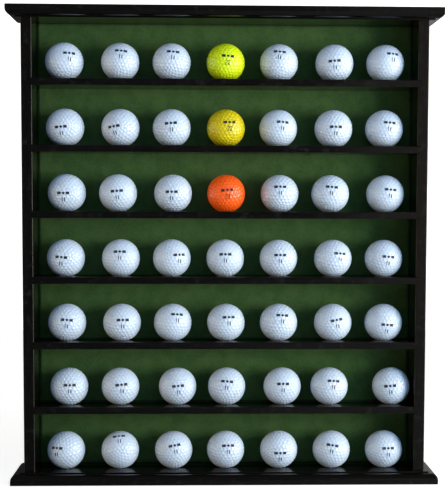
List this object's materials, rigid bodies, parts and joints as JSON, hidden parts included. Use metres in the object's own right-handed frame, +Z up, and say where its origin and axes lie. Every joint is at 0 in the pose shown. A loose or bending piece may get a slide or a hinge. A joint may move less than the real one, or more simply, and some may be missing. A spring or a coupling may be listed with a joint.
{
  "type": "golf ball display case",
  "caption": "Open-fronted black lacquered wall or table cabinet with felt-lined back and grooved shelves, filled with loose golf balls that lift out.",
  "frame": {"origin": "under the middle of the case, on the surface it stands on", "axes": "+X along the shelves to the viewer's right, -Y out of the open front, +Z up"},
  "size_m": [0.48, 0.071, 0.529],
  "materials": {
    "black_lacquer": "satin black lacquer on solid wood",
    "green_felt": "short-napped green felt",
    "hardboard": "raw brown hardboard",
    "beech": "plain beech dowel",
    "black_screw": "black phosphated wood screw",
    "zinc_plate": "bright zinc plated steel",
    "ball_white": "glossy white dimpled golf ball",
    "ball_lime": "glossy lime dimpled golf ball",
    "ball_yellow": "glossy yellow dimpled golf ball",
    "ball_orange": "glossy orange dimpled golf ball"
  },
  "bodies": {
    "cabinet": {"crown_board": "black_lacquer", "base_board": "black_lacquer", "left_side": "black_lacquer", "right_side": "black_lacquer", "shelves": "black_lacquer", "back_panel": "hardboard", "felt_lining": "green_felt", "crown_dowels": "beech", "base_screws": "black_screw", "hanger_plates": "zinc_plate", "hanger_screws": "zinc_plate"},
    "ball_r1_c1": {"ball_r1_c1": "ball_white"},
    "ball_r1_c2": {"ball_r1_c2": "ball_white"},
    "ball_r1_c3": {"ball_r1_c3": "ball_white"},
    "ball_r1_c4": {"ball_r1_c4": "ball_lime"},
    "ball_r1_c5": {"ball_r1_c5": "ball_white"},
    "ball_r1_c6": {"ball_r1_c6": "ball_white"},
    "ball_r1_c7": {"ball_r1_c7": "ball_white"},
    "ball_r2_c1": {"ball_r2_c1": "ball_white"},
    "ball_r2_c2": {"ball_r2_c2": "ball_white"},
    "ball_r2_c3": {"ball_r2_c3": "ball_white"},
    "ball_r2_c4": {"ball_r2_c4": "ball_yellow"},
    "ball_r2_c5": {"ball_r2_c5": "ball_white"},
    "ball_r2_c6": {"ball_r2_c6": "ball_white"},
    "ball_r2_c7": {"ball_r2_c7": "ball_white"},
    "ball_r3_c1": {"ball_r3_c1": "ball_white"},
    "ball_r3_c2": {"ball_r3_c2": "ball_white"},
    "ball_r3_c3": {"ball_r3_c3": "ball_white"},
    "ball_r3_c4": {"ball_r3_c4": "ball_orange"},
    "ball_r3_c5": {"ball_r3_c5": "ball_white"},
    "ball_r3_c6": {"ball_r3_c6": "ball_white"},
    "ball_r3_c7": {"ball_r3_c7": "ball_white"},
    "ball_r4_c1": {"ball_r4_c1": "ball_white"},
    "ball_r4_c2": {"ball_r4_c2": "ball_white"},
    "ball_r4_c3": {"ball_r4_c3": "ball_white"},
    "ball_r4_c4": {"ball_r4_c4": "ball_white"},
    "ball_r4_c5": {"ball_r4_c5": "ball_white"},
    "ball_r4_c6": {"ball_r4_c6": "ball_white"},
    "ball_r4_c7": {"ball_r4_c7": "ball_white"},
    "ball_r5_c1": {"ball_r5_c1": "ball_white"},
    "ball_r5_c2": {"ball_r5_c2": "ball_white"},
    "ball_r5_c3": {"ball_r5_c3": "ball_white"},
    "ball_r5_c4": {"ball_r5_c4": "ball_white"},
    "ball_r5_c5": {"ball_r5_c5": "ball_white"},
    "ball_r5_c6": {"ball_r5_c6": "ball_white"},
    "ball_r5_c7": {"ball_r5_c7": "ball_white"},
    "ball_r6_c1": {"ball_r6_c1": "ball_white"},
    "ball_r6_c2": {"ball_r6_c2": "ball_white"},
    "ball_r6_c3": {"ball_r6_c3": "ball_white"},
    "ball_r6_c4": {"ball_r6_c4": "ball_white"},
    "ball_r6_c5": {"ball_r6_c5": "ball_white"},
    "ball_r6_c6": {"ball_r6_c6": "ball_white"},
    "ball_r6_c7": {"ball_r6_c7": "ball_white"},
    "ball_r7_c1": {"ball_r7_c1": "ball_white"},
    "ball_r7_c2": {"ball_r7_c2": "ball_white"},
    "ball_r7_c3": {"ball_r7_c3": "ball_white"},
    "ball_r7_c4": {"ball_r7_c4": "ball_white"},
    "ball_r7_c5": {"ball_r7_c5": "ball_white"},
    "ball_r7_c6": {"ball_r7_c6": "ball_white"},
    "ball_r7_c7": {"ball_r7_c7": "ball_white"}
  },
  "joints": [
    {"name": "ball_r1_c1_lift", "type": "slide", "parent": "cabinet", "child": "ball_r1_c1", "axis": [0, -0.891, 0.454], "range_m": [0, 0.075]},
    {"name": "ball_r1_c2_lift", "type": "slide", "parent": "cabinet", "child": "ball_r1_c2", "axis": [0, -0.891, 0.454], "range_m": [0, 0.075]},
    {"name": "ball_r1_c3_lift", "type": "slide", "parent": "cabinet", "child": "ball_r1_c3", "axis": [0, -0.891, 0.454], "range_m": [0, 0.075]},
    {"name": "ball_r1_c4_lift", "type": "slide", "parent": "cabinet", "child": "ball_r1_c4", "axis": [0, -0.891, 0.454], "range_m": [0, 0.075]},
    {"name": "ball_r1_c5_lift", "type": "slide", "parent": "cabinet", "child": "ball_r1_c5", "axis": [0, -0.891, 0.454], "range_m": [0, 0.075]},
    {"name": "ball_r1_c6_lift", "type": "slide", "parent": "cabinet", "child": "ball_r1_c6", "axis": [0, -0.891, 0.454], "range_m": [0, 0.075]},
    {"name": "ball_r1_c7_lift", "type": "slide", "parent": "cabinet", "child": "ball_r1_c7", "axis": [0, -0.891, 0.454], "range_m": [0, 0.075]},
    {"name": "ball_r2_c1_lift", "type": "slide", "parent": "cabinet", "child": "ball_r2_c1", "axis": [0, -0.891, 0.454], "range_m": [0, 0.075]},
    {"name": "ball_r2_c2_lift", "type": "slide", "parent": "cabinet", "child": "ball_r2_c2", "axis": [0, -0.891, 0.454], "range_m": [0, 0.075]},
    {"name": "ball_r2_c3_lift", "type": "slide", "parent": "cabinet", "child": "ball_r2_c3", "axis": [0, -0.891, 0.454], "range_m": [0, 0.075]},
    {"name": "ball_r2_c4_lift", "type": "slide", "parent": "cabinet", "child": "ball_r2_c4", "axis": [0, -0.891, 0.454], "range_m": [0, 0.075]},
    {"name": "ball_r2_c5_lift", "type": "slide", "parent": "cabinet", "child": "ball_r2_c5", "axis": [0, -0.891, 0.454], "range_m": [0, 0.075]},
    {"name": "ball_r2_c6_lift", "type": "slide", "parent": "cabinet", "child": "ball_r2_c6", "axis": [0, -0.891, 0.454], "range_m": [0, 0.075]},
    {"name": "ball_r2_c7_lift", "type": "slide", "parent": "cabinet", "child": "ball_r2_c7", "axis": [0, -0.891, 0.454], "range_m": [0, 0.075]},
    {"name": "ball_r3_c1_lift", "type": "slide", "parent": "cabinet", "child": "ball_r3_c1", "axis": [0, -0.891, 0.454], "range_m": [0, 0.075]},
    {"name": "ball_r3_c2_lift", "type": "slide", "parent": "cabinet", "child": "ball_r3_c2", "axis": [0, -0.891, 0.454], "range_m": [0, 0.075]},
    {"name": "ball_r3_c3_lift", "type": "slide", "parent": "cabinet", "child": "ball_r3_c3", "axis": [0, -0.891, 0.454], "range_m": [0, 0.075]},
    {"name": "ball_r3_c4_lift", "type": "slide", "parent": "cabinet", "child": "ball_r3_c4", "axis": [0, -0.891, 0.454], "range_m": [0, 0.075]},
    {"name": "ball_r3_c5_lift", "type": "slide", "parent": "cabinet", "child": "ball_r3_c5", "axis": [0, -0.891, 0.454], "range_m": [0, 0.075]},
    {"name": "ball_r3_c6_lift", "type": "slide", "parent": "cabinet", "child": "ball_r3_c6", "axis": [0, -0.891, 0.454], "range_m": [0, 0.075]},
    {"name": "ball_r3_c7_lift", "type": "slide", "parent": "cabinet", "child": "ball_r3_c7", "axis": [0, -0.891, 0.454], "range_m": [0, 0.075]},
    {"name": "ball_r4_c1_lift", "type": "slide", "parent": "cabinet", "child": "ball_r4_c1", "axis": [0, -0.891, 0.454], "range_m": [0, 0.075]},
    {"name": "ball_r4_c2_lift", "type": "slide", "parent": "cabinet", "child": "ball_r4_c2", "axis": [0, -0.891, 0.454], "range_m": [0, 0.075]},
    {"name": "ball_r4_c3_lift", "type": "slide", "parent": "cabinet", "child": "ball_r4_c3", "axis": [0, -0.891, 0.454], "range_m": [0, 0.075]},
    {"name": "ball_r4_c4_lift", "type": "slide", "parent": "cabinet", "child": "ball_r4_c4", "axis": [0, -0.891, 0.454], "range_m": [0, 0.075]},
    {"name": "ball_r4_c5_lift", "type": "slide", "parent": "cabinet", "child": "ball_r4_c5", "axis": [0, -0.891, 0.454], "range_m": [0, 0.075]},
    {"name": "ball_r4_c6_lift", "type": "slide", "parent": "cabinet", "child": "ball_r4_c6", "axis": [0, -0.891, 0.454], "range_m": [0, 0.075]},
    {"name": "ball_r4_c7_lift", "type": "slide", "parent": "cabinet", "child": "ball_r4_c7", "axis": [0, -0.891, 0.454], "range_m": [0, 0.075]},
    {"name": "ball_r5_c1_lift", "type": "slide", "parent": "cabinet", "child": "ball_r5_c1", "axis": [0, -0.891, 0.454], "range_m": [0, 0.075]},
    {"name": "ball_r5_c2_lift", "type": "slide", "parent": "cabinet", "child": "ball_r5_c2", "axis": [0, -0.891, 0.454], "range_m": [0, 0.075]},
    {"name": "ball_r5_c3_lift", "type": "slide", "parent": "cabinet", "child": "ball_r5_c3", "axis": [0, -0.891, 0.454], "range_m": [0, 0.075]},
    {"name": "ball_r5_c4_lift", "type": "slide", "parent": "cabinet", "child": "ball_r5_c4", "axis": [0, -0.891, 0.454], "range_m": [0, 0.075]},
    {"name": "ball_r5_c5_lift", "type": "slide", "parent": "cabinet", "child": "ball_r5_c5", "axis": [0, -0.891, 0.454], "range_m": [0, 0.075]},
    {"name": "ball_r5_c6_lift", "type": "slide", "parent": "cabinet", "child": "ball_r5_c6", "axis": [0, -0.891, 0.454], "range_m": [0, 0.075]},
    {"name": "ball_r5_c7_lift", "type": "slide", "parent": "cabinet", "child": "ball_r5_c7", "axis": [0, -0.891, 0.454], "range_m": [0, 0.075]},
    {"name": "ball_r6_c1_lift", "type": "slide", "parent": "cabinet", "child": "ball_r6_c1", "axis": [0, -0.891, 0.454], "range_m": [0, 0.075]},
    {"name": "ball_r6_c2_lift", "type": "slide", "parent": "cabinet", "child": "ball_r6_c2", "axis": [0, -0.891, 0.454], "range_m": [0, 0.075]},
    {"name": "ball_r6_c3_lift", "type": "slide", "parent": "cabinet", "child": "ball_r6_c3", "axis": [0, -0.891, 0.454], "range_m": [0, 0.075]},
    {"name": "ball_r6_c4_lift", "type": "slide", "parent": "cabinet", "child": "ball_r6_c4", "axis": [0, -0.891, 0.454], "range_m": [0, 0.075]},
    {"name": "ball_r6_c5_lift", "type": "slide", "parent": "cabinet", "child": "ball_r6_c5", "axis": [0, -0.891, 0.454], "range_m": [0, 0.075]},
    {"name": "ball_r6_c6_lift", "type": "slide", "parent": "cabinet", "child": "ball_r6_c6", "axis": [0, -0.891, 0.454], "range_m": [0, 0.075]},
    {"name": "ball_r6_c7_lift", "type": "slide", "parent": "cabinet", "child": "ball_r6_c7", "axis": [0, -0.891, 0.454], "range_m": [0, 0.075]},
    {"name": "ball_r7_c1_lift", "type": "slide", "parent": "cabinet", "child": "ball_r7_c1", "axis": [0, -0.891, 0.454], "range_m": [0, 0.075]},
    {"name": "ball_r7_c2_lift", "type": "slide", "parent": "cabinet", "child": "ball_r7_c2", "axis": [0, -0.891, 0.454], "range_m": [0, 0.075]},
    {"name": "ball_r7_c3_lift", "type": "slide", "parent": "cabinet", "child": "ball_r7_c3", "axis": [0, -0.891, 0.454], "range_m": [0, 0.075]},
    {"name": "ball_r7_c4_lift", "type": "slide", "parent": "cabinet", "child": "ball_r7_c4", "axis": [0, -0.891, 0.454], "range_m": [0, 0.075]},
    {"name": "ball_r7_c5_lift", "type": "slide", "parent": "cabinet", "child": "ball_r7_c5", "axis": [0, -0.891, 0.454], "range_m": [0, 0.075]},
    {"name": "ball_r7_c6_lift", "type": "slide", "parent": "cabinet", "child": "ball_r7_c6", "axis": [0, -0.891, 0.454], "range_m": [0, 0.075]},
    {"name": "ball_r7_c7_lift", "type": "slide", "parent": "cabinet", "child": "ball_r7_c7", "axis": [0, -0.891, 0.454], "range_m": [0, 0.075]}
  ]
}
